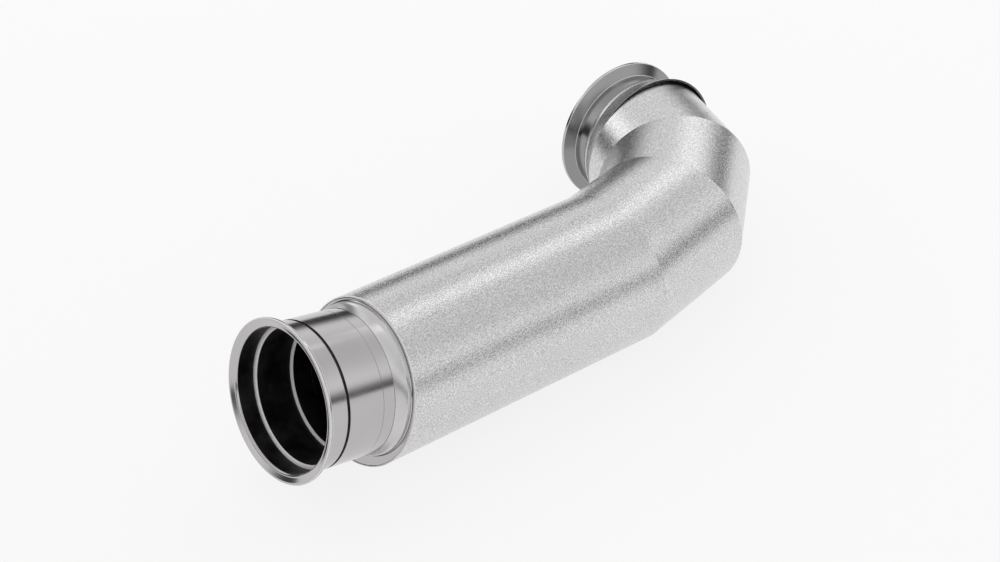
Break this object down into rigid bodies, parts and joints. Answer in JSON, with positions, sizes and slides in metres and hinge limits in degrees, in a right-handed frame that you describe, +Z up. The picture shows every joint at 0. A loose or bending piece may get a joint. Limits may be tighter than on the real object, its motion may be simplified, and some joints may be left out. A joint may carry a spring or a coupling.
{
  "type": "insulated exhaust pipe",
  "caption": "Insulated exhaust pipe: a straight textured jacket with a mitred quarter-turn elbow, a bent bare end tube, stepped sleeves and a V-band flange at each end.",
  "frame": {"origin": "centre of the bounding box in X and Y, at the lowest point of the far cap in Z", "axes": "+X along the straight jacket towards the elbow, +Y out of the far flange, +Z up, square to the plane of the elbow"},
  "size_m": [0.6049, 0.2746, 0.1728],
  "materials": {
    "bare_steel": "smooth drawn stainless steel with a dull polish",
    "embossed_skin": "finely embossed stainless foil, satin and grainy",
    "insulation": "matt ceramic fibre wrap, hidden inside the jacket"
  },
  "bodies": {
    "root": {"near_flange": "bare_steel", "near_sleeve": "bare_steel", "near_tube": "bare_steel", "near_cap": "bare_steel", "gas_stub": "bare_steel", "gas_bend": "bare_steel", "gas_pipe": "bare_steel", "wrap_near": "insulation", "wrap_straight": "insulation", "wrap_gore_1": "insulation", "wrap_gore_2": "insulation", "wrap_gore_3": "insulation", "skin_straight": "embossed_skin", "skin_gore_1": "embossed_skin", "skin_gore_2": "embossed_skin", "skin_gore_3": "embossed_skin", "far_cap": "embossed_skin", "far_tube": "bare_steel", "far_sleeve": "bare_steel", "far_flange": "bare_steel"}
  },
  "joints": []
}
